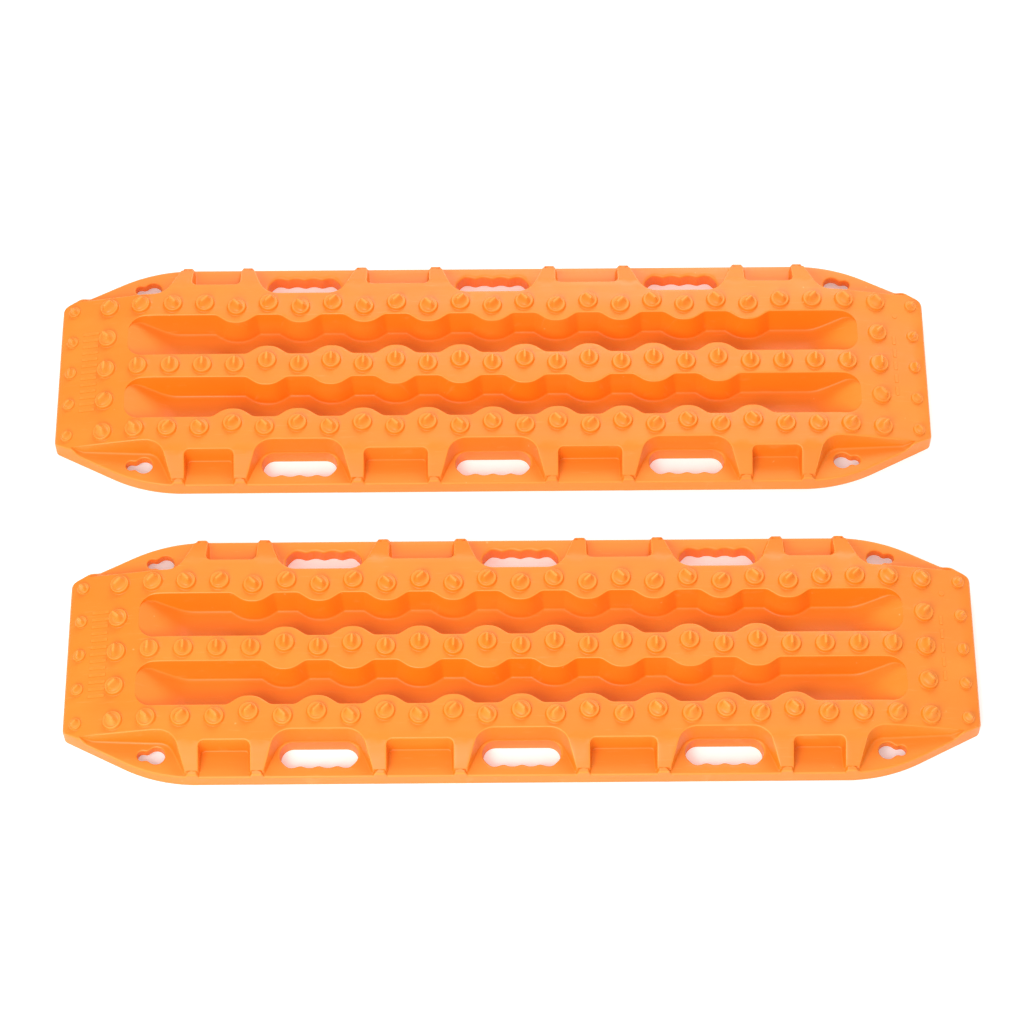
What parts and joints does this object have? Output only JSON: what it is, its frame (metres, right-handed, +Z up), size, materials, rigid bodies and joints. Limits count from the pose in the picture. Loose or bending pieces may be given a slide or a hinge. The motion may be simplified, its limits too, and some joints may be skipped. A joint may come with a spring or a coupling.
{
  "type": "tire traction mats",
  "caption": "Pair of ridged, studded traction boards with side handle slots and corner keyholes, laid side by side, for freeing a stuck vehicle.",
  "frame": {"origin": "on the ground in the middle of the pair of mats", "axes": "+X along the mats, +Y from the front mat to the rear one, +Z up from the ground"},
  "size_m": [1.0918, 0.689, 0.06],
  "materials": {
    "moulding_front": "moulded, fine satin grain",
    "moulding_rear": "moulded, fine satin grain"
  },
  "bodies": {
    "mat_front": {"mat_front": "moulding_front"},
    "mat_rear": {"mat_rear": "moulding_rear"}
  },
  "joints": [
    {"name": "rear_mat_lift", "type": "slide", "parent": "mat_front", "child": "mat_rear", "axis": [0, 0, 1], "range_m": [0, 0.25]}
  ]
}
